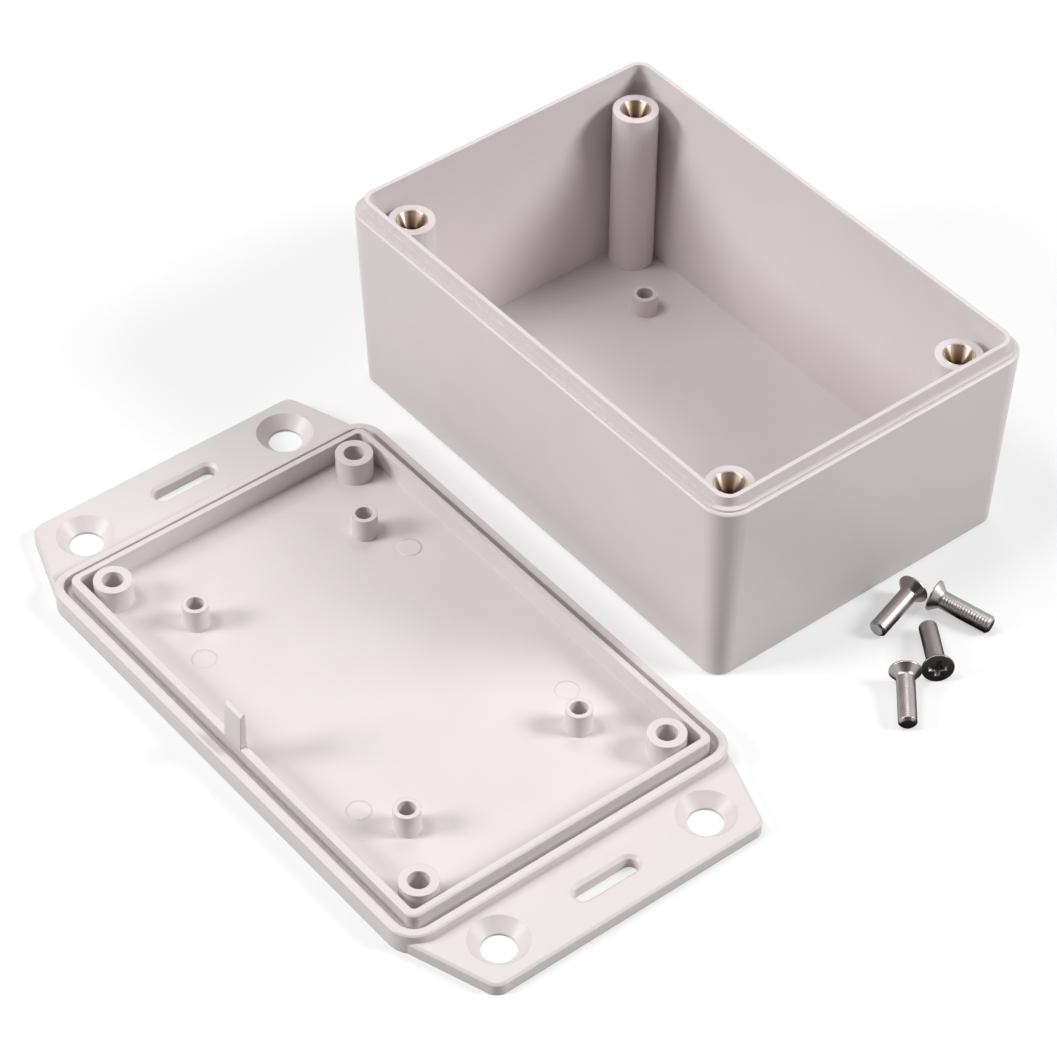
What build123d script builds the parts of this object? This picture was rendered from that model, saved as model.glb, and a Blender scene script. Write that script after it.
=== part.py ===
from build123d import *

import os
from math import atan, cos, radians, sin, tan

# Two-part plastic enclosure, taken apart: an open body with four brass inserts, its flanged
# lid lying inside up beside it, and the four lid screws on the table.
# Millimetres. The origin is the centre of the body's underside, +X along its long side, +Z up.

# Outside of the box where lid and body meet
BOX_LENGTH = 85.0
BOX_WIDTH = 56.8
BOX_RADIUS = 4.2

# Body
OUTER_DRAFT_ANGLE = 2.65
FOOT_CHAMFER = 0.3
FLOOR = 1.7
CAVITY_DRAFT_ANGLE = 3.0
CAVITY_RADIUS = 1.7
SEAT_HEIGHT = 32.7
RIM_WALL = 2.3
TONGUE_HEIGHT = 1.6
TONGUE_THICKNESS = 0.68
TONGUE_RADIUS = 2.3
REVEAL_WIDTH = 0.62
REVEAL_DROP = 0.3
EDGE_CHAMFER = 0.25

# Lid: thicknesses and heights above its outer face
LID_FLOOR = 1.1
FLANGE = 2.1
RIDGE_HEIGHT = 3.5
RIDGE_WIDTH = 1.3
LIP_HEIGHT = 4.72
LIP_WIDTH = 1.1
LIP_RADIUS = 1.4
LIP_CLEARANCE = 0.25
GROOVE_CLEARANCE = 0.15
KEY_WIDTH = 3.7
KEY_HEIGHT = 10.8
KEY_LEAN = 0.35
KEY_BEVEL = 0.45

# Lid flanges: gaps from the box and edge margins are measured from each hole's own edge
FLANGE_RADIUS = 2.1
FLANGE_CHAMFER = 0.35
FLANGE_SHOULDER = 5.6
FLANGE_RUN_IN = 4.3
HOLE_DIAMETER = 5.0
HOLE_SINK = 8.5
HOLE_GAP = 1.15
HOLE_END_MARGIN = 1.95
HOLE_SIDE_MARGIN = 0.85
SLOT_LENGTH = 10.4
SLOT_WIDTH = 2.5
SLOT_GAP = 4.65
SLOT_CHAMFER = 0.5

# Lid screws, the inserts they turn into and how far in from the box outline they stand
POST_INSET_X = 7.08
POST_INSET_Y = 7.18
SCREW_DIAMETER = 2.7
SCREW_LENGTH = 9.4
HEAD_DIAMETER = 4.7
HEAD_RIM = 0.25
HEAD_ANGLE = 82.0
RECESS_SPAN = 2.7
RECESS_WIDTH = 0.75
RECESS_DEPTH = 1.2
SCREW_CLEARANCE = 0.35
SINK_CLEARANCE = 0.3
INSERT_DIAMETER = 4.75
INSERT_LENGTH = 5.2
INSERT_MOUTH = 4.35
INSERT_MOUTH_DEPTH = 2.4
THREAD_DEPTH = 0.2
POST_DIAMETER = 7.0
POST_BORE_DEPTH = 8.0
BOSS_DIAMETER = 5.6
BOSS_HEIGHT = 5.05
BOSS_GAP = 0.5

# Standoffs for a circuit board, the same pattern in lid and body
BOARD_INSET_X = 18.07
BOARD_INSET_Y = 13.6
STANDOFF_DIAMETER = 3.9
STANDOFF_HOLE = 2.5
STANDOFF_TOP = 5.0
STANDOFF_HOLE_DEPTH = 3.6

# Where the loose parts lie: the lid's shift along X and its gap from the body along Y, then the
# screws in two pairs. Screws 1 and 3 are placed by their heads, out from the body's end and
# along Y, and screws 2 and 4 by their heads' steps from those. Each angle is where a tip points.
LID_SHIFT = 12.3
LID_GAP = 6.05
SCREW_1_OUT = 3.7
SCREW_1_ALONG = 5.6
SCREW_1_ANGLE = -76.5
SCREW_2_STEP_OUT = 2.7
SCREW_2_STEP_ALONG = 1.3
SCREW_2_ANGLE = 18.5
SCREW_3_OUT = 17.4
SCREW_3_ALONG = -2.5
SCREW_3_ANGLE = 145.5
SCREW_4_STEP_OUT = -2.6
SCREW_4_STEP_ALONG = -3.8
SCREW_4_ANGLE = -40.0


def corners(spacing_x, spacing_y):
    """The four corners of a rectangle about the origin."""
    return [(i * spacing_x / 2, j * spacing_y / 2) for i in (-1, 1) for j in (-1, 1)]


def block(length, width, radius, bottom, top):
    """An upright block with round corners between two heights."""
    return extrude(Pos(0, 0, bottom) * RectangleRounded(length, width, radius), top - bottom)


def drafted(solid, top, angle):
    """A solid whose sides keep their place at height top and lean inward below it."""
    sides = solid.faces().filter_by(Axis.Z, reverse=True)
    return draft(sides, Plane.XY.offset(top), -angle)


def cavity(length, width, radius):
    """The hollow of the body: drafted walls that meet in one small radius all the way down."""
    depth = TONGUE_TOP - FLOOR
    solid = extrude(Pos(0, 0, FLOOR) * Rectangle(length, width), depth)
    solid = drafted(solid, TONGUE_TOP, CAVITY_DRAFT_ANGLE)
    upright = solid.edges().filter_by(lambda e: e.bounding_box().size.Z > depth / 2)
    return fillet(upright, radius)


def pin(place, diameter, bottom, top):
    """An upright cylinder between two heights."""
    height = top - bottom
    return Pos(place[0], place[1], bottom + height / 2) * Cylinder(diameter / 2, height)


def sink(place, wide, narrow, mouth, down=1):
    """A 90 degree countersink that opens at height mouth, cutting down or up from there."""
    depth = (wide - narrow) / 2
    cone = Cone(narrow / 2, wide / 2, depth) if down > 0 else Cone(wide / 2, narrow / 2, depth)
    return Pos(place[0], place[1], mouth - down * depth / 2) * cone


def inset(amount, radius):
    """The box outline moved in by an amount, with its own corner radius."""
    return BOX_LENGTH - 2 * amount, BOX_WIDTH - 2 * amount, radius


SCREW_SPACING = (BOX_LENGTH - 2 * POST_INSET_X, BOX_WIDTH - 2 * POST_INSET_Y)
BOARD_SPACING = (BOX_LENGTH - 2 * BOARD_INSET_X, BOX_WIDTH - 2 * BOARD_INSET_Y)
FLANGE_REACH = HOLE_GAP + HOLE_SINK + HOLE_END_MARGIN
FLANGE_END = BOX_LENGTH / 2 + FLANGE_REACH
FLANGE_SIDE = BOX_WIDTH / 2 - FLANGE_SHOULDER
FLANGE_ROOT = BOX_LENGTH / 2 - FLANGE_RUN_IN
HOLE_X = BOX_LENGTH / 2 + HOLE_GAP + HOLE_SINK / 2
HOLE_Y = FLANGE_SIDE - HOLE_SIDE_MARGIN - HOLE_SINK / 2
SLOT_X = BOX_LENGTH / 2 + SLOT_GAP + SLOT_WIDTH / 2
REVEAL_HEIGHT = SEAT_HEIGHT - REVEAL_DROP
TONGUE_TOP = SEAT_HEIGHT + TONGUE_HEIGHT
TONGUE_INSET = RIM_WALL - TONGUE_THICKNESS
POST_TOP = SEAT_HEIGHT + RIDGE_HEIGHT - BOSS_HEIGHT - BOSS_GAP
GROOVE_FLOOR = RIDGE_HEIGHT - TONGUE_HEIGHT - GROOVE_CLEARANCE
LIP_INSET = RIM_WALL + LIP_CLEARANCE
SCREW_HOLE = SCREW_DIAMETER + SCREW_CLEARANCE
THREAD_BORE = SCREW_DIAMETER - 2 * THREAD_DEPTH


def body_shell():
    """The drafted outer form with its stepped rim, hollowed down to the floor."""
    outer = block(*inset(0, BOX_RADIUS), 0, REVEAL_HEIGHT)
    outer = drafted(outer, REVEAL_HEIGHT, OUTER_DRAFT_ANGLE)
    outer = chamfer(outer.edges().group_by(Axis.Z)[0], FOOT_CHAMFER)
    outer = chamfer(outer.edges().group_by(Axis.Z)[-1], EDGE_CHAMFER)
    seat_radius = BOX_RADIUS - REVEAL_WIDTH
    seat = block(*inset(REVEAL_WIDTH, seat_radius), REVEAL_HEIGHT - EDGE_CHAMFER, SEAT_HEIGHT)
    tongue = block(*inset(TONGUE_INSET, TONGUE_RADIUS), SEAT_HEIGHT, TONGUE_TOP)
    return outer + seat + tongue - cavity(*inset(RIM_WALL, CAVITY_RADIUS))


def enclosure_body():
    """The open box: four screw posts with insert bores, and four board standoffs."""
    body = body_shell()
    posts = corners(*SCREW_SPACING)
    boards = corners(*BOARD_SPACING)
    body += [pin(p, POST_DIAMETER, FLOOR / 2, POST_TOP) for p in posts]
    body += [pin(p, STANDOFF_DIAMETER, FLOOR / 2, STANDOFF_TOP) for p in boards]
    body -= [pin(p, INSERT_DIAMETER, POST_TOP - POST_BORE_DEPTH, POST_TOP) for p in posts]
    body -= [pin(p, STANDOFF_HOLE, STANDOFF_TOP - STANDOFF_HOLE_DEPTH, STANDOFF_TOP) for p in boards]
    return body


def flange_plate():
    """The lid's plate with its two flanges: the ends narrow, then run in to the long sides."""
    x, y, root, side = FLANGE_END, FLANGE_SIDE, FLANGE_ROOT, BOX_WIDTH / 2
    outline = Polygon(
        (x, -y), (x, y), (root, side), (-root, side), (-x, y), (-x, -y), (-root, -side), (root, -side),
        align=None,
    )
    ends = outline.vertices().filter_by(lambda v: abs(v.X) > BOX_LENGTH / 2)
    plate = extrude(fillet(ends, FLANGE_RADIUS), FLANGE)
    rim = plate.edges().group_by(Axis.Z)[-1].filter_by(lambda e: abs(e.center().X) > FLANGE_ROOT / 2)
    return chamfer(rim, FLANGE_CHAMFER)


def lid_rim():
    """The outer ridge, the groove for the body's tongue and the lip that goes inside it."""
    ridge = block(*inset(0, BOX_RADIUS), 0, RIDGE_HEIGHT)
    ridge = chamfer(ridge.edges().group_by(Axis.Z)[-1], EDGE_CHAMFER)
    groove = block(*inset(RIDGE_WIDTH, BOX_RADIUS - RIDGE_WIDTH), GROOVE_FLOOR, RIDGE_HEIGHT)
    lip = block(*inset(LIP_INSET, LIP_RADIUS), 0, LIP_HEIGHT)
    lip = chamfer(lip.edges().group_by(Axis.Z)[-1], EDGE_CHAMFER)
    return ridge - groove + lip


def key():
    """The tab on one long side's lip: its outer face leans in to clear the body's draft."""
    foot = -BOX_WIDTH / 2 + LIP_INSET
    back, face = foot + LIP_WIDTH, foot + KEY_LEAN
    section = Polygon(
        (foot, LID_FLOOR), (back, LID_FLOOR), (back, KEY_HEIGHT), (face + KEY_BEVEL, KEY_HEIGHT),
        (face, KEY_HEIGHT - KEY_BEVEL), (foot, LIP_HEIGHT - EDGE_CHAMFER), align=None,
    )
    return extrude(Plane.YZ * section, KEY_WIDTH / 2, both=True)


def flanged_lid():
    """The lid in its own frame, outer face down on z = 0."""
    lid = flange_plate() + lid_rim()
    tray = inset(LIP_INSET + LIP_WIDTH, LIP_RADIUS / 2)
    lid -= block(*tray, LID_FLOOR, LIP_HEIGHT)
    lid += key()
    screws = corners(*SCREW_SPACING)
    boards = corners(*BOARD_SPACING)
    lid += [pin(p, BOSS_DIAMETER, LID_FLOOR / 2, BOSS_HEIGHT) for p in screws]
    lid += [pin(p, STANDOFF_DIAMETER, LID_FLOOR / 2, STANDOFF_TOP) for p in boards]
    lid -= [pin(p, SCREW_HOLE, 0, BOSS_HEIGHT) for p in screws]
    lid -= [sink(p, HEAD_DIAMETER + SINK_CLEARANCE, SCREW_HOLE, 0, -1) for p in screws]
    lid -= [pin(p, STANDOFF_HOLE, STANDOFF_TOP - STANDOFF_HOLE_DEPTH, STANDOFF_TOP) for p in boards]
    holes = corners(2 * HOLE_X, 2 * HOLE_Y)
    lid -= [pin(p, HOLE_DIAMETER, 0, FLANGE) for p in holes]
    lid -= [sink(p, HOLE_SINK, HOLE_DIAMETER, FLANGE) for p in holes]
    slot = extrude(SlotOverall(SLOT_LENGTH, SLOT_WIDTH, rotation=90), FLANGE)
    mouth = SlotOverall(SLOT_LENGTH + 2 * SLOT_CHAMFER, SLOT_WIDTH + 2 * SLOT_CHAMFER, rotation=90)
    slot += extrude(Pos(0, 0, FLANGE) * mouth, -SLOT_CHAMFER, taper=45)
    lid -= [Pos(i * SLOT_X, 0, 0) * slot for i in (-1, 1)]
    return lid


def threaded_insert(place):
    """A brass insert pressed flush into a post, with a wide cone for its mouth."""
    outside, thread, mouth = INSERT_DIAMETER / 2, THREAD_BORE / 2, INSERT_MOUTH / 2
    profile = Polygon(
        (thread, -INSERT_LENGTH), (outside, -INSERT_LENGTH), (outside, 0), (mouth, 0),
        (thread, -INSERT_MOUTH_DEPTH), align=None,
    )
    return Pos(place[0], place[1], POST_TOP) * revolve(Plane.XZ * profile, Axis.Z)


def screw():
    """A flat-headed screw along Z: its head's face at z = 0, its tip at -SCREW_LENGTH."""
    head, shank = HEAD_DIAMETER / 2, SCREW_DIAMETER / 2
    cone = (head - shank) / tan(radians(HEAD_ANGLE / 2))
    profile = Polygon(
        (0, 0), (head, 0), (head, -HEAD_RIM), (shank, -HEAD_RIM - cone),
        (shank, -SCREW_LENGTH), (0, -SCREW_LENGTH), align=None,
    )
    blank = revolve(Plane.XZ * profile, Axis.Z)
    half, taper = RECESS_SPAN / 2, RECESS_SPAN / 6
    wing = Polygon((-half, 0), (half, 0), (taper, -RECESS_DEPTH), (-taper, -RECESS_DEPTH), align=None)
    cross = extrude(Plane.XZ * wing, RECESS_WIDTH / 2, both=True)
    return blank - cross - Rot(0, 0, 90) * cross


def lying_screw(out, along, heading):
    """A screw on the table, resting on its head's rim and the end of its shank."""
    span = SCREW_LENGTH - HEAD_RIM
    tilt = atan((HEAD_DIAMETER - SCREW_DIAMETER) / 2 / span)
    turn = radians(heading)
    to_head = Vector(-cos(turn) * cos(tilt), -sin(turn) * cos(tilt), sin(tilt))
    across = Vector(-sin(turn), cos(turn), 0)
    height = HEAD_DIAMETER / 2 * cos(tilt) + HEAD_RIM * sin(tilt)
    head = (BOX_LENGTH / 2 + out, along, height)
    return Plane(origin=head, x_dir=across, z_dir=to_head) * screw()


def nodes():
    """Every separate piece by name, where it lies."""
    pieces = {
        "enclosure_body": enclosure_body(),
        "flanged_lid": Pos(LID_SHIFT, -BOX_WIDTH - LID_GAP, 0) * flanged_lid(),
        "lid_screw_1": lying_screw(SCREW_1_OUT, SCREW_1_ALONG, SCREW_1_ANGLE),
        "lid_screw_2": lying_screw(
            SCREW_1_OUT + SCREW_2_STEP_OUT, SCREW_1_ALONG + SCREW_2_STEP_ALONG, SCREW_2_ANGLE
        ),
        "lid_screw_3": lying_screw(SCREW_3_OUT, SCREW_3_ALONG, SCREW_3_ANGLE),
        "lid_screw_4": lying_screw(
            SCREW_3_OUT + SCREW_4_STEP_OUT, SCREW_3_ALONG + SCREW_4_STEP_ALONG, SCREW_4_ANGLE
        ),
    }
    for i, place in enumerate(corners(*SCREW_SPACING), 1):
        pieces[f"threaded_insert_{i}"] = threaded_insert(place)
    return pieces


os.makedirs("parts", exist_ok=True)
for name, piece in nodes().items():
    export_step(piece, f"parts/{name}.step")
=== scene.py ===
"""Open two-part plastic enclosure: its body with brass inserts, its flanged lid and its screws.

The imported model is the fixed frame, in metres. Operators dress it, one for each group of pieces,
and one more sets the stage, the lamps and the camera.
"""

import bpy
import numpy as np
from bpy.props import FloatProperty, FloatVectorProperty, PointerProperty
from mathutils import Matrix, Vector

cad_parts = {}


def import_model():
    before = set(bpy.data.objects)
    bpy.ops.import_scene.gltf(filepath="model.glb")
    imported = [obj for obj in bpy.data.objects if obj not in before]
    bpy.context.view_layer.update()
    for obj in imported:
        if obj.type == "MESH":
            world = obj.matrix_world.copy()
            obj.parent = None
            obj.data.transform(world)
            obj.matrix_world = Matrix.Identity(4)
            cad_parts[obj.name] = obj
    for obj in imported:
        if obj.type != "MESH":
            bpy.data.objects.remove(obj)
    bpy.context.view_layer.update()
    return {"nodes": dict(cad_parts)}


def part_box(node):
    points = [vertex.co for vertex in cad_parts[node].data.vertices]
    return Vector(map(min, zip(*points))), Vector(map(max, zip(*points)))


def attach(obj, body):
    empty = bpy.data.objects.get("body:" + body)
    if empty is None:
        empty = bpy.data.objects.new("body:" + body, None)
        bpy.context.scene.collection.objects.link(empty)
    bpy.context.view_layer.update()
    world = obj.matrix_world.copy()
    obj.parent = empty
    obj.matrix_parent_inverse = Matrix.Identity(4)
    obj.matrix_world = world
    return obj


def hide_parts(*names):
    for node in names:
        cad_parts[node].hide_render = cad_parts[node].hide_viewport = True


bl_info = {
    "name": "Flanged plastic enclosure",
    "version": (1, 0, 0),
    "blender": (4, 5, 0),
    "location": "3D View > Sidebar > Enclosure",
    "description": "Dresses an open moulded enclosure with its inserts, lid and screws",
    "category": "Object",
}

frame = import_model()

MM = 0.001
UP = Vector((0.0, 0.0, 1.0))
INSERTS = tuple(f"threaded_insert_{i}" for i in range(1, 5))
SCREWS = tuple(f"lid_screw_{i}" for i in range(1, 5))

# Columns and rows of the turned meshes
COLUMNS = 96
FACE_ROWS = 46
CONE_ROWS = 8
TIP_ROWS = 5
FLARE_ROWS = 10
ROWS_PER_TURN = 8

# The heights that the lid's floor lies between, and how softly the marks in it fade at them
MARKED_FROM = 0.6 * MM
MARKED_TO = 1.6 * MM
MARKED_FADE = 0.12 * MM
BEVEL_SAMPLES = 6

# The lamps: name, place and side in metres, and power in watts
LAMPS = (
    ("left_lamp", (-0.49, -0.96, 0.58), 0.40, 8.8),
    ("right_lamp", (0.72, 0.68, 0.70), 0.42, 11.3),
    ("top_left_lamp", (-0.25, -0.45, 1.1), 0.4, 5.0),
    ("top_back_lamp", (-0.35, 0.35, 1.1), 0.5, 2.1),
)
LAMPS_AIM = (0.01, -0.03, 0.01)

# The dark cards: width and height in metres, and how far from the camera's aim they stand
CAMERA_CARD = (1.1, 0.9)
CAMERA_CARD_BACK = 0.75
STANDING_CARD = (0.40, 0.30)
STANDING_CARD_AHEAD = 0.35
FLOOR_CARD = (19.0 * MM, 29.5 * MM)
FLOOR_CARD_PLACE = (63.4 * MM, -3.2 * MM, -0.01 * MM)
BLACK = (0.01, 0.01, 0.01, 1.0)

# The noise values that the plastic's mottle rises between
MOTTLE_RANGE = (0.35, 0.85)

FLOOR_SIDE = 8.0
FLOOR_DROP = 0.02 * MM
SENSOR_WIDTH = 36.0
CAMERA_REACH = 20.0


class Value:
    """A shader socket that takes part in arithmetic: each operator adds its Math node."""

    def __init__(self, nodes, socket):
        self.nodes = nodes
        self.socket = socket

    def _math(self, operation, *terms):
        found = [t.socket if isinstance(t, Value) else t for t in terms]
        node = self.nodes.add("ShaderNodeMath", {"operation": operation}, dict(enumerate(found)))
        return Value(self.nodes, node.outputs[0])

    def __add__(self, other):
        return self._math("ADD", self, other)

    def __radd__(self, other):
        return self._math("ADD", other, self)

    def __sub__(self, other):
        return self._math("SUBTRACT", self, other)

    def __rsub__(self, other):
        return self._math("SUBTRACT", other, self)

    def __mul__(self, other):
        return self._math("MULTIPLY", self, other)

    def __rmul__(self, other):
        return self._math("MULTIPLY", other, self)

    def __truediv__(self, other):
        return self._math("DIVIDE", self, other)

    def __rtruediv__(self, other):
        return self._math("DIVIDE", other, self)

    def __abs__(self):
        return self._math("ABSOLUTE", self)

    def root(self):
        return self._math("SQRT", self)

    def clamp(self, low, high):
        return self._math("MINIMUM", self._math("MAXIMUM", self, low), high)

    def ramp(self, start, end):
        """0 up to the start, 1 from the end on, and an even rise between them."""
        return ((self - start) / (end - start)).clamp(0.0, 1.0)


class Nodes:
    """A node tree under construction, with one method that adds any node."""

    def __init__(self, tree):
        self.tree = tree
        tree.nodes.clear()

    def add(self, kind, settings=None, inputs=None):
        """A node of this kind, with its settings first and then its sockets' values or links."""
        node = self.tree.nodes.new(kind)
        for name, setting in (settings or {}).items():
            setattr(node, name, setting)
        for name, given in (inputs or {}).items():
            self.feed(node.inputs[name], given)
        return node

    def feed(self, socket, given):
        """Sets a socket to a constant, or links an output to it."""
        given = given.socket if isinstance(given, Value) else given
        if isinstance(given, bpy.types.NodeSocket):
            self.tree.links.new(given, socket)
        else:
            socket.default_value = given

    def value(self, node, output):
        return Value(self, node.outputs[output])

    def shown(self):
        """1 where the camera or a reflection looks, 0 where light only falls."""
        path = self.add("ShaderNodeLightPath")
        kinds = ("Is Camera Ray", "Is Glossy Ray", "Is Transmission Ray")
        camera_ray, glossy_ray, transmission_ray = (self.value(path, kind) for kind in kinds)
        return (camera_ray + glossy_ray + transmission_ray).clamp(0.0, 1.0)


class Finish(Nodes):
    """A material under construction, with one surface shader."""

    def __init__(self, name, constants):
        self.material = bpy.data.materials.new(name)
        self.material.use_nodes = True
        super().__init__(self.material.node_tree)
        self.shader = self.add("ShaderNodeBsdfPrincipled", inputs=constants)
        self.add("ShaderNodeOutputMaterial", inputs={"Surface": self.shader.outputs[0]})

    def place(self):
        """The point on the object, in metres in its own frame."""
        return self.add("ShaderNodeTexCoord").outputs["Object"]

    def axes(self):
        """That point's three coordinates, each as a value."""
        node = self.add("ShaderNodeSeparateXYZ", inputs={"Vector": self.place()})
        return [self.value(node, i) for i in range(3)]

    def noise(self, scale, detail):
        """Soft noise through the object, mostly near a half, with this many cells in a metre."""
        inputs = {"Vector": self.place(), "Scale": scale, "Detail": detail}
        return self.value(self.add("ShaderNodeTexNoise", inputs=inputs), "Fac")

    def mix(self, amount, first, second):
        """Two colours mixed by an amount from 0 to 1."""
        inputs = {"Factor": amount, "A": (*first, 1.0), "B": (*second, 1.0)}
        return self.add("ShaderNodeMix", {"data_type": "RGBA"}, inputs).outputs["Result"]

    def bump(self, height, edge):
        """The normal over a height in metres, with the mesh's edges rounded by a radius."""
        bevel = self.add("ShaderNodeBevel", {"samples": BEVEL_SAMPLES}, {"Radius": edge})
        relief = {
            "Height": height, "Distance": 1.0, "Strength": 1.0, "Normal": bevel.outputs["Normal"],
        }
        return self.add("ShaderNodeBump", inputs=relief).outputs["Normal"]

    def link(self, socket, given):
        """Links an output or a value to one of the surface shader's sockets."""
        self.feed(self.shader.inputs[socket], given)


class PlasticSettings(bpy.types.PropertyGroup):
    """The moulded plastic of body and lid."""

    colour: FloatVectorProperty(
        name="Colour", description="Pale warm grey of the plastic", subtype="COLOR", size=3,
        min=0.0, max=1.0, default=(0.715, 0.652, 0.658),
    )
    shade: FloatVectorProperty(
        name="Mottle colour", description="Slightly deeper tone in the plastic's faint mottle",
        subtype="COLOR", size=3, min=0.0, max=1.0, default=(0.690, 0.625, 0.632),
    )
    mottle_scale: FloatProperty(
        name="Mottle scale", description="Patches of the mottle in a metre", default=90.0, min=0.0,
    )
    roughness: FloatProperty(
        name="Roughness", description="Surface roughness of the satin moulding",
        default=0.42, min=0.0, max=1.0, subtype="FACTOR",
    )
    grain: FloatProperty(
        name="Grain height", description="Height of the mould's fine grain",
        default=0.006 * MM, min=0.0, unit="LENGTH",
    )
    grain_scale: FloatProperty(
        name="Grain scale", description="Grains in a metre", default=4200.0, min=0.0,
    )
    edge: FloatProperty(
        name="Edge radius", description="Rounding of the moulding's edges, in the shading alone",
        default=0.2 * MM, min=0.0, unit="LENGTH",
    )
    mark_reach: FloatProperty(
        name="Ejector mark reach", description="Distance of each mark from both middle lines",
        default=18.0 * MM, min=0.0, unit="LENGTH",
    )
    mark_diameter: FloatProperty(
        name="Ejector mark diameter", description="Width of the round marks in the lid's floor",
        default=3.7 * MM, min=0.0, unit="LENGTH",
    )
    mark_edge: FloatProperty(
        name="Ejector mark edge", description="Width of the slope round each mark",
        default=0.25 * MM, min=0.01 * MM, unit="LENGTH",
    )
    mark_height: FloatProperty(
        name="Ejector mark height", description="Height of each mark over its slope",
        default=0.12 * MM, min=0.0, unit="LENGTH",
    )


class MetalSettings(bpy.types.PropertyGroup):
    """The brass inserts and the plated screws."""

    brass: FloatVectorProperty(
        name="Brass", description="Colour of the turned brass inserts", subtype="COLOR", size=3,
        min=0.0, max=1.0, default=(0.62, 0.50, 0.40),
    )
    # Painted shade: this colour paints the brass darker down the bore, where shade falls in the
    # thread.
    painted_shade: FloatVectorProperty(
        name="Painted_shade", description="Darker colour of the brass down in the thread",
        subtype="COLOR", size=3, min=0.0, max=1.0, default=(0.18, 0.11, 0.075),
    )
    # The top share of the mouth is left without painted shade.
    bright_share: FloatProperty(
        name="Bright share", description="Share of the mouth's depth that has no tarnish",
        default=0.2, min=0.0, max=0.99, subtype="FACTOR",
    )
    brass_roughness: FloatProperty(
        name="Brass roughness", description="Surface roughness of the turned brass",
        default=0.36, min=0.0, max=1.0, subtype="FACTOR",
    )
    plating: FloatVectorProperty(
        name="Plating", description="Colour of the plated steel screws", subtype="COLOR", size=3,
        min=0.0, max=1.0, default=(0.37, 0.338, 0.335),
    )
    plating_roughness: FloatProperty(
        name="Plating roughness", description="Roughness of the plating where it shines most",
        default=0.26, min=0.0, max=1.0, subtype="FACTOR",
    )
    plating_patches: FloatProperty(
        name="Plating patches", description="How much the roughness can rise in a dull patch",
        default=0.2, min=0.0, max=1.0, subtype="FACTOR",
    )
    patch_scale: FloatProperty(
        name="Patch scale", description="Patches of the plating in a metre", default=900.0, min=0.0,
    )
    pitch: FloatProperty(
        name="Thread pitch", description="Distance between the turns of the thread",
        default=0.45 * MM, min=0.1 * MM, unit="LENGTH",
    )
    screw_thread: FloatProperty(
        name="Screw thread depth", description="Height of the screws' thread from root to crest",
        default=0.012 * MM, min=0.0, unit="LENGTH",
    )
    insert_thread: FloatProperty(
        name="Insert thread depth", description="Height of the inserts' thread from root to crest",
        default=0.14 * MM, min=0.0, unit="LENGTH",
    )
    head_rim: FloatProperty(
        name="Head rim", description="Height of the straight rim round each screw's head",
        default=0.25 * MM, min=0.0, unit="LENGTH",
    )
    head_angle: FloatProperty(
        name="Head angle", description="Full angle of the countersunk head", subtype="ANGLE",
        default=np.radians(82.0),
    )
    tip_chamfer: FloatProperty(
        name="Tip chamfer", description="Chamfer at the end of each screw",
        default=0.35 * MM, min=0.0, unit="LENGTH",
    )
    recess_span: FloatProperty(
        name="Recess span", description="Width of the cross recess over its arms",
        default=2.7 * MM, min=0.0, unit="LENGTH",
    )
    recess_arm: FloatProperty(
        name="Recess arm", description="Width of each arm of the cross recess",
        default=0.75 * MM, min=0.0, unit="LENGTH",
    )
    recess_depth: FloatProperty(
        name="Recess depth", description="Depth of the cross recess",
        default=1.2 * MM, min=0.0, unit="LENGTH",
    )
    mouth: FloatProperty(
        name="Insert mouth", description="Diameter of each insert's flared mouth",
        default=4.35 * MM, min=0.0, unit="LENGTH",
    )
    mouth_depth: FloatProperty(
        name="Mouth depth", description="Depth of each insert's flared mouth",
        default=2.4 * MM, min=0.0, unit="LENGTH",
    )
    bore: FloatProperty(
        name="Insert bore", description="Diameter inside each insert's thread",
        default=2.3 * MM, min=0.0, unit="LENGTH",
    )


class StageSettings(bpy.types.PropertyGroup):
    """The camera, the floor and the world."""

    aim: FloatVectorProperty(
        name="Aim", description="Point the camera looks at", subtype="TRANSLATION", unit="LENGTH",
        size=3, default=(0.945 * MM, -28.233 * MM, 0.0),
    )
    eye: FloatVectorProperty(
        name="Eye", description="Where the camera stands", subtype="TRANSLATION", unit="LENGTH",
        size=3, default=(0.311757, -0.280842, 0.387615),
    )
    roll: FloatProperty(
        name="Roll", description="Turn of the camera about its own axis, in degrees",
        default=0.648,
    )
    lens: FloatProperty(
        name="Lens", description="Focal length in millimetres on a 36 mm wide sensor",
        default=130.95,
    )
    floor_seen: FloatVectorProperty(
        name="Floor seen", description="Lit colour of the floor as the camera sees it",
        subtype="COLOR", size=3, min=0.0, max=1.0, default=(0.97, 0.97, 0.97),
    )
    floor_glow: FloatProperty(
        name="Floor glow", description="Share of the floor that the camera sees glowing white",
        default=0.5, min=0.0, max=1.0, subtype="FACTOR",
    )
    floor_bounce: FloatVectorProperty(
        name="Floor bounce", description="Colour of the light that the floor throws back up",
        subtype="COLOR", size=3, min=0.0, max=1.0, default=(0.42, 0.41, 0.41),
    )
    world_light: FloatProperty(
        name="World light", description="Share of the white world that lights the object",
        default=0.024, min=0.0, max=1.0, subtype="FACTOR",
    )


def dress(node, material):
    """Gives a CAD node a material in place of the one it was packed with."""
    slots = frame["nodes"][node].data.materials
    slots.clear()
    slots.append(material)


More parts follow.
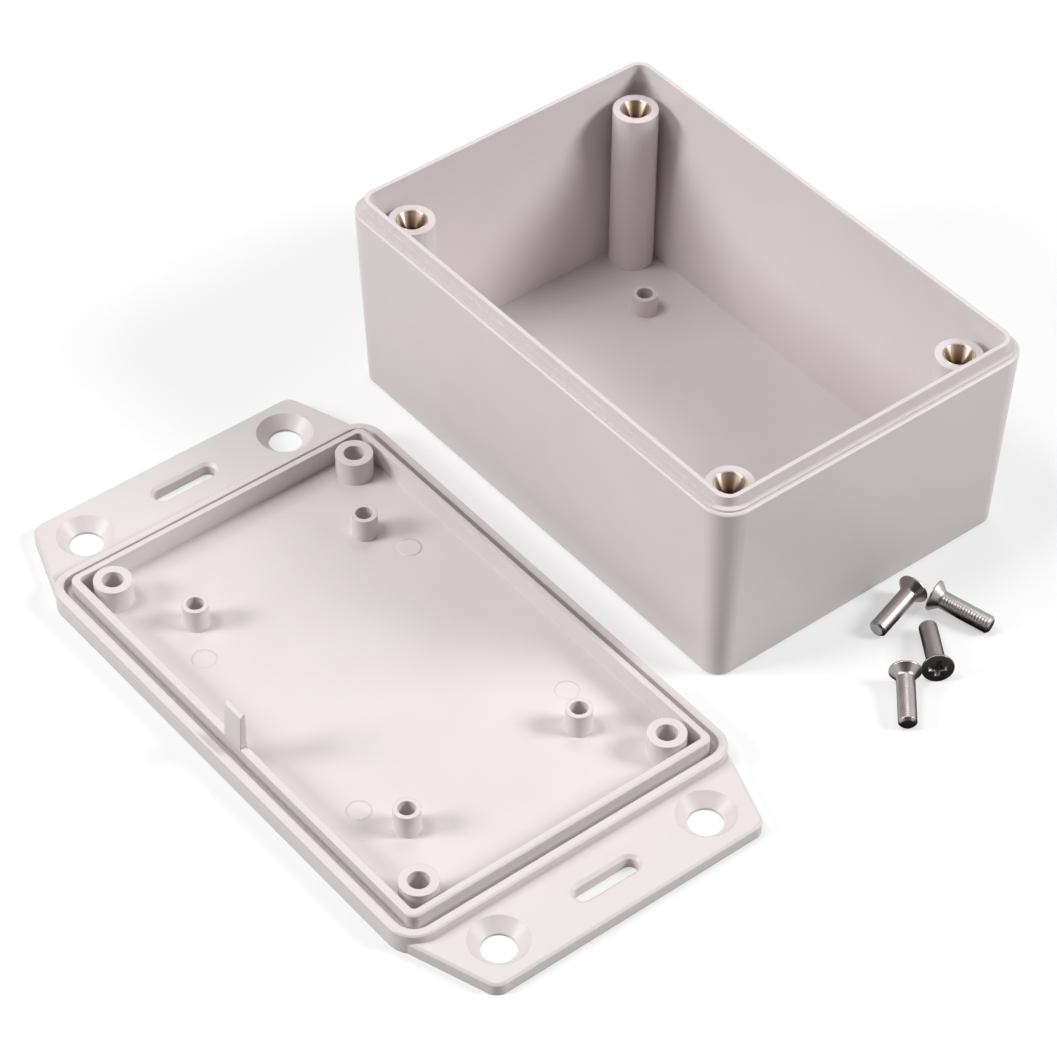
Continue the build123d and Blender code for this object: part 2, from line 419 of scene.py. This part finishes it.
def plastic_material(name, settings, marks=None):
    """Satin plastic: a faint mottle in the colour, and the mould's fine grain in the normal, with
    the height of any marks on top of it."""
    finish = Finish(name, {"Roughness": settings.roughness})
    mottle = finish.noise(settings.mottle_scale, detail=3.0).ramp(*MOTTLE_RANGE)
    finish.link("Base Color", finish.mix(mottle, settings.colour, settings.shade))
    height = finish.noise(settings.grain_scale, detail=2.0) * settings.grain
    if marks:
        height = height + marks(finish, settings)
    finish.link("Normal", finish.bump(height, settings.edge))
    return finish.material


def ejector_marks(finish, settings):
    """Four round marks in the lid's floor. Folding the lid about both its middle lines makes them
    one: a disc at the same distance from either line, with a soft edge."""
    low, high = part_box("flanged_lid")
    x, y, z = finish.axes()
    across = abs(x - (low.x + high.x) / 2) - settings.mark_reach
    along = abs(y - (low.y + high.y) / 2) - settings.mark_reach
    distance = (across * across + along * along).root()
    radius = settings.mark_diameter / 2
    disc = distance.ramp(radius, radius - settings.mark_edge)
    above = z.ramp(MARKED_FROM, MARKED_FROM + MARKED_FADE)
    below = z.ramp(MARKED_TO, MARKED_TO - MARKED_FADE)
    return disc * (above * below) * settings.mark_height


def brass_material(settings, top):
    """Turned brass. The fine rings of its bore stretch each highlight along the bore, as the
    quarter turn of the anisotropy does here. Its colour holds painted shade: bright at the top,
    then darker down to the foot of the mouth, where the bore lies in shade."""
    constants = {
        "Metallic": 1.0,
        "Roughness": settings.brass_roughness,
        "Anisotropic": 1.0,
        "Anisotropic Rotation": 0.25,
    }
    finish = Finish("turned_brass", constants)
    depth = (top - finish.axes()[2]) / settings.mouth_depth
    # Painted shade: the colour darkens with depth below the top of the insert.
    dark = depth.ramp(settings.bright_share, 1.0)
    finish.link("Base Color", finish.mix(dark, settings.brass, settings.painted_shade))
    return finish.material


def steel_material(settings):
    """Plated steel with faint uneven patches in its shine."""
    constants = {"Metallic": 1.0, "Base Color": (*settings.plating, 1.0)}
    finish = Finish("plated_steel", constants)
    patches = finish.noise(settings.patch_scale, detail=3.0) * settings.plating_patches
    finish.link("Roughness", patches + settings.plating_roughness)
    return finish.material


def new_object(name, data):
    """An object in the scene that shows this data."""
    found = bpy.data.objects.new(name, data)
    bpy.context.scene.collection.objects.link(found)
    return found


def column_angles():
    """The angle of each column: its share of a full turn."""
    return np.arange(COLUMNS) * (2 * np.pi / COLUMNS)


def revolved(profile):
    """Radius and height grids of a profile's points, with one row for each point and the same
    values in all its columns."""
    points = np.array(profile)
    return np.repeat(points[:, :1], COLUMNS, axis=1), np.repeat(points[:, 1:], COLUMNS, axis=1)


def turned(name, radius, height, material, node, axes):
    """A closed mesh from two grids, radius and height, with rows along the profile and columns
    round the axis: the point in row i, column j is (radius cos a, radius sin a, height), where a
    is column j's share of a turn. A first or last row of no radius ends in one vertex. The axes
    place it in the frame, and it stands for a CAD node."""
    turn = column_angles()
    points = np.stack([radius * np.cos(turn), radius * np.sin(turn), height], axis=-1)
    index = np.arange(radius.size).reshape(radius.shape)
    for end in (0, -1):
        if np.all(radius[end] == 0):
            index[end] = index[end, 0]
    ahead = np.roll(index, -1, axis=1)
    quads = np.stack([index[:-1], index[1:], ahead[1:], ahead[:-1]], axis=-1).reshape(-1, 4)
    used = np.unique(index)
    number = np.full(radius.size, -1)
    number[used] = np.arange(len(used))
    faces = [tuple(dict.fromkeys(quad)) for quad in number[quads].tolist()]
    placed = points.reshape(-1, 3)[used] @ np.array(axes.to_3x3()).T + np.array(axes.translation)
    mesh = bpy.data.meshes.new(name)
    mesh.from_pydata(placed.tolist(), [], faces)
    mesh.polygons.foreach_set("use_smooth", np.ones(len(mesh.polygons), bool))
    mesh.materials.append(material)
    piece = new_object(name, mesh)
    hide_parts(node)
    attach(piece, "root")


def thread_wave(height, pitch):
    """0 at the thread's root and 1 at its crest. It depends on the height in turns of the thread
    less the share of a turn, so its crest is a helix: a triangle wave from 0 to 1, made steeper
    about its middle and with its ends cut flat."""
    share = (height / pitch - np.arange(COLUMNS)[None, :] / COLUMNS) % 1.0
    triangle = 1 - np.abs(2 * share - 1)
    steeper = 1.5
    return np.clip(triangle * steeper - (steeper - 1) / 2, 0.0, 1.0)


def cad_points(node):
    """The different vertices of a CAD node, to a tenth of a micrometre."""
    data = frame["nodes"][node].data.vertices
    found = np.empty(len(data) * 3)
    data.foreach_get("co", found)
    return np.unique(found.reshape(-1, 3).round(7), axis=0)


def screw_axes(node):
    """Where a CAD screw lies: the origin in the middle of its head's face, Z out of the head, and
    X level. Its line is the direction in which its points spread most. Its length and its two
    radii are measured too, the radii in a thin slice at either end."""
    points = cad_points(node)
    middle = points.mean(axis=0)
    line = np.linalg.svd(points - middle)[2][0]
    along = (points - middle) @ line
    slice_depth = 0.1 * MM
    ends = [points[along > along.max() - slice_depth], points[along < along.min() + slice_depth]]
    reach = [np.linalg.norm(end - end.mean(axis=0), axis=1).max() for end in ends]
    head, tip = (0, 1) if reach[0] > reach[1] else (1, 0)
    face, end = Vector(ends[head].mean(axis=0)), Vector(ends[tip].mean(axis=0))
    out = (face - end).normalized()
    level = UP.cross(out).normalized()
    axes = Matrix((level, out.cross(level), out)).transposed().to_4x4()
    axes.translation = face
    return axes, (face - end).length, reach[head], reach[tip]


def cross_recess(settings, radius):
    """Depth of the cross at each point of a screw's face: along each arm it falls evenly from a
    flat middle to the arm's end, and the arm's walls are a steep ramp."""
    turn = column_angles()
    x, y = np.abs(radius * np.cos(turn)), np.abs(radius * np.sin(turn))
    half, wall = settings.recess_arm / 2, 0.06 * MM
    slope = settings.recess_span / 3
    arms = [
        ((half + wall / 2 - side) / wall).clip(0.0, 1.0)
        * ((settings.recess_span / 2 - out) / slope).clip(0.0, 1.0)
        for out, side in ((x, y), (y, x))
    ]
    return settings.recess_depth * np.maximum(*arms)


def screw_surface(settings, length, head, shank):
    """Radius and height grids of a screw, from the middle of its face out to the bevelled rim,
    down the head's cone and the threaded shank to the middle of the tip. The thread grows to its
    full depth over the run below the neck, and the face sinks into a cross. Each stretch has a
    row close to its ends, so that smooth shading keeps the edges between them."""
    cone = (head - shank) / np.tan(settings.head_angle / 2)
    neck = settings.head_rim + cone
    chamfer = settings.tip_chamfer
    edge, corner, tip_edge = 0.05 * MM, 0.015 * MM, 0.03 * MM
    face = [(r, 0.0) for r in np.linspace(0.0, head - edge, FACE_ROWS)]
    rim = [(head - corner, -corner), (head, -edge), (head, -settings.head_rim)]
    under_head = [
        (head + (shank - head) * t, -settings.head_rim - cone * t)
        for t in np.linspace(0.04, 0.9, CONE_ROWS)
    ]
    first = neck + 0.1 * MM
    step = settings.pitch / ROWS_PER_TURN
    thread = [(shank, -z) for z in np.arange(first, length - chamfer, step)]
    tip = [
        (shank - chamfer * t, chamfer * (1 - t) - length) for t in np.linspace(0.0, 0.94, TIP_ROWS)
    ]
    end = [(shank - chamfer - tip_edge, -length), (0.0, -length)]
    radius, height = revolved(face + rim + under_head + thread + tip + end)
    run = 0.5 * MM
    grown = ((-height - neck) / run).clip(0.0, 1.0)
    wave = thread_wave(height, settings.pitch)
    threaded = shank - settings.screw_thread * grown * (1 - wave)
    radius = np.where(-height > neck, np.minimum(radius, threaded), radius)
    sunk = height - cross_recess(settings, radius)
    return radius, np.where(height > -edge, sunk, height)


def insert_surface(settings, outside, length):
    """Radius and height grids of an insert: up its outside, over the top with its two bevels,
    down the flared mouth and the threaded bore, and back along the bottom."""
    mouth, bore = settings.mouth / 2, settings.bore / 2
    edge = 0.04 * MM
    top = [(outside, -length), (outside, -edge), (outside - edge, 0.0), (mouth + edge, 0.0)]
    flare = [
        (mouth + (bore - mouth) * t, -settings.mouth_depth * t)
        for t in np.linspace(0.015, 0.98, FLARE_ROWS)
    ]
    step = settings.pitch / ROWS_PER_TURN
    thread = [(bore, -z) for z in np.arange(settings.mouth_depth, length, step)]
    bottom = [(bore, -length), (outside, -length)]
    radius, height = revolved(top + flare + thread + bottom)
    wave = thread_wave(height, settings.pitch)
    cut = bore + settings.insert_thread * (1 - wave)
    inside = (-height > settings.mouth_depth) & (radius < mouth) & (-height < length)
    return np.where(inside, cut, radius), height


class ENCLOSURE_OT_plastic(bpy.types.Operator):
    """Finish the body and the lid in satin plastic"""

    bl_idname = "enclosure.plastic"
    bl_label = "Body and lid"

    def execute(self, context):
        settings = context.scene.enclosure_plastic
        dress("enclosure_body", plastic_material("body_plastic", settings))
        dress("flanged_lid", plastic_material("lid_plastic", settings, ejector_marks))
        return {"FINISHED"}


class ENCLOSURE_OT_inserts(bpy.types.Operator):
    """Turn the four brass inserts with their flared mouths and inner threads"""

    bl_idname = "enclosure.inserts"
    bl_label = "Threaded inserts"

    def execute(self, context):
        settings = context.scene.enclosure_metal
        brass = brass_material(settings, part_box(INSERTS[0])[1].z)
        for node in INSERTS:
            low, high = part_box(node)
            axes = Matrix.Translation(((low.x + high.x) / 2, (low.y + high.y) / 2, high.z))
            radius, height = insert_surface(settings, (high.x - low.x) / 2, high.z - low.z)
            turned(f"{node}_turned", radius, height, brass, node, axes)
        return {"FINISHED"}


class ENCLOSURE_OT_screws(bpy.types.Operator):
    """Turn the four lid screws with their threads and cross recesses"""

    bl_idname = "enclosure.screws"
    bl_label = "Lid screws"

    def execute(self, context):
        settings = context.scene.enclosure_metal
        steel = steel_material(settings)
        for node in SCREWS:
            axes, length, head, shank = screw_axes(node)
            radius, height = screw_surface(settings, length, head, shank)
            turned(f"{node}_threaded", radius, height, steel, node, axes)
        return {"FINISHED"}


def camera(settings):
    """Looks from the eye to the aim; its axes are right, up and back, turned by the roll."""
    back = (Vector(settings.eye) - Vector(settings.aim)).normalized()
    right = UP.cross(back).normalized()
    axes = Matrix((right, back.cross(right), back)).transposed()
    turn = Matrix.Rotation(np.radians(settings.roll), 3, "Z")
    data = bpy.data.cameras.new("camera")
    data.lens = settings.lens
    data.sensor_width = SENSOR_WIDTH
    data.clip_end = CAMERA_REACH
    found = new_object("camera", data)
    found.matrix_world = Matrix.Translation(settings.eye) @ (axes @ turn).to_4x4()
    bpy.context.scene.camera = found


def lamp(name, place, side, power):
    """A square soft lamp that faces the lamps' aim."""
    data = bpy.data.lights.new(name, "AREA")
    data.size = side
    data.energy = power
    found = new_object(name, data)
    facing = (Vector(place) - Vector(LAMPS_AIM)).to_track_quat("Z", "Y")
    found.matrix_world = Matrix.LocRotScale(Vector(place), facing, None)


def sheet(name, axes, width, height, material):
    """A flat sheet in the XY plane of its axes."""
    x, y = width / 2, height / 2
    mesh = bpy.data.meshes.new(name)
    mesh.from_pydata([(-x, -y, 0.0), (x, -y, 0.0), (x, y, 0.0), (-x, y, 0.0)], [], [(0, 1, 2, 3)])
    mesh.transform(axes)
    mesh.materials.append(material)
    found = new_object(name, mesh)
    return found


def floor(settings):
    """A wide floor, just under the object. The camera and reflections see it half glowing white
    and half lit, so it keeps the object's shadow, and it throws back less light than it shows."""
    material = bpy.data.materials.new("white_floor")
    material.use_nodes = True
    nodes = Nodes(material.node_tree)
    dull = nodes.add("ShaderNodeBsdfDiffuse", inputs={"Color": (*settings.floor_bounce, 1.0)})
    white = nodes.add("ShaderNodeBsdfDiffuse", inputs={"Color": (*settings.floor_seen, 1.0)})
    glow = nodes.add("ShaderNodeEmission", inputs={"Strength": 1.0})
    pale_parts = {0: settings.floor_glow, 1: white.outputs[0], 2: glow.outputs[0]}
    pale = nodes.add("ShaderNodeMixShader", inputs=pale_parts)
    both = {0: nodes.shown(), 1: dull.outputs[0], 2: pale.outputs[0]}
    surface = nodes.add("ShaderNodeMixShader", inputs=both)
    nodes.add("ShaderNodeOutputMaterial", inputs={"Surface": surface.outputs[0]})
    place = Matrix.Translation((0.0, 0.0, -FLOOR_DROP))
    sheet("floor", place, FLOOR_SIDE, FLOOR_SIDE, material)


def dark_card(name, axes, width, height):
    """A black card that only reflections see: it gives the metal its dark side."""
    constants = {"Base Color": BLACK, "Roughness": 1.0, "Specular IOR Level": 0.0}
    card = sheet(name, axes, width, height, Finish(name, constants).material)
    card.visible_camera = False
    card.visible_diffuse = False
    card.visible_shadow = False


def dark_cards(settings):
    """Three cards in line with the camera: a wide one behind it, one that stands on the floor
    under its line of sight, and one that lies on the floor, under the front pair of screws and
    before the back pair."""
    aim = Vector(settings.aim)
    back = (Vector(settings.eye) - aim).normalized()
    ahead = Vector((back.x, back.y, 0.0)).normalized()
    behind_camera = aim + back * CAMERA_CARD_BACK
    on_floor = aim + ahead * STANDING_CARD_AHEAD + UP * STANDING_CARD[1] / 2
    upright = (
        ("camera_side_card", back, behind_camera, CAMERA_CARD),
        ("standing_card", ahead, on_floor, STANDING_CARD),
    )
    for name, facing, place, size in upright:
        axes = facing.to_track_quat("Z", "Y").to_matrix().to_4x4()
        axes.translation = place
        dark_card(name, axes, *size)
    turn = Matrix.Rotation(np.arctan2(ahead.x, -ahead.y), 4, "Z")
    dark_card("floor_card", Matrix.Translation(FLOOR_CARD_PLACE) @ turn, *FLOOR_CARD)


def world(level):
    """White to the camera and in reflections, and a weaker white as light on the object."""
    found = bpy.data.worlds.new("studio")
    found.use_nodes = True
    nodes = Nodes(found.node_tree)
    strength = nodes.shown() * (1.0 - level) + level
    light = {"Color": (1.0, 1.0, 1.0, 1.0), "Strength": strength}
    background = nodes.add("ShaderNodeBackground", inputs=light)
    nodes.add("ShaderNodeOutputWorld", inputs={"Surface": background.outputs[0]})
    bpy.context.scene.world = found


class ENCLOSURE_OT_stage(bpy.types.Operator):
    """Set the floor, the lamps, the world and the camera"""

    bl_idname = "enclosure.stage"
    bl_label = "Stage"

    def execute(self, context):
        context.scene.view_settings.view_transform = "Standard"
        settings = context.scene.enclosure_stage
        camera(settings)
        floor(settings)
        dark_cards(settings)
        world(settings.world_light)
        for name, place, side, power in LAMPS:
            lamp(name, place, side, power)
        return {"FINISHED"}


class ENCLOSURE_PT_panel(bpy.types.Panel):
    """The enclosure's settings and the buttons that build it"""

    bl_idname = "ENCLOSURE_PT_panel"
    bl_label = "Flanged enclosure"
    bl_space_type = "VIEW_3D"
    bl_region_type = "UI"
    bl_category = "Enclosure"

    def draw(self, context):
        layout = self.layout
        for group, operators in SECTIONS:
            box = layout.box()
            settings = getattr(context.scene, group)
            for name in settings.__annotations__:
                box.prop(settings, name)
            for operator in operators:
                box.operator(operator.bl_idname)


SETTINGS = {
    "enclosure_plastic": PlasticSettings,
    "enclosure_metal": MetalSettings,
    "enclosure_stage": StageSettings,
}
SECTIONS = (
    ("enclosure_plastic", (ENCLOSURE_OT_plastic,)),
    ("enclosure_metal", (ENCLOSURE_OT_inserts, ENCLOSURE_OT_screws)),
    ("enclosure_stage", (ENCLOSURE_OT_stage,)),
)
CLASSES = (
    *SETTINGS.values(),
    ENCLOSURE_OT_plastic,
    ENCLOSURE_OT_inserts,
    ENCLOSURE_OT_screws,
    ENCLOSURE_OT_stage,
    ENCLOSURE_PT_panel,
)


def register():
    for cls in CLASSES:
        bpy.utils.register_class(cls)
    for name, group in SETTINGS.items():
        setattr(bpy.types.Scene, name, PointerProperty(type=group))


def unregister():
    for name in SETTINGS:
        delattr(bpy.types.Scene, name)
    for cls in reversed(CLASSES):
        bpy.utils.unregister_class(cls)


def main():
    register()
    bpy.ops.enclosure.plastic()
    bpy.ops.enclosure.inserts()
    bpy.ops.enclosure.screws()
    bpy.ops.enclosure.stage()


if __name__ == "__main__":
    main()
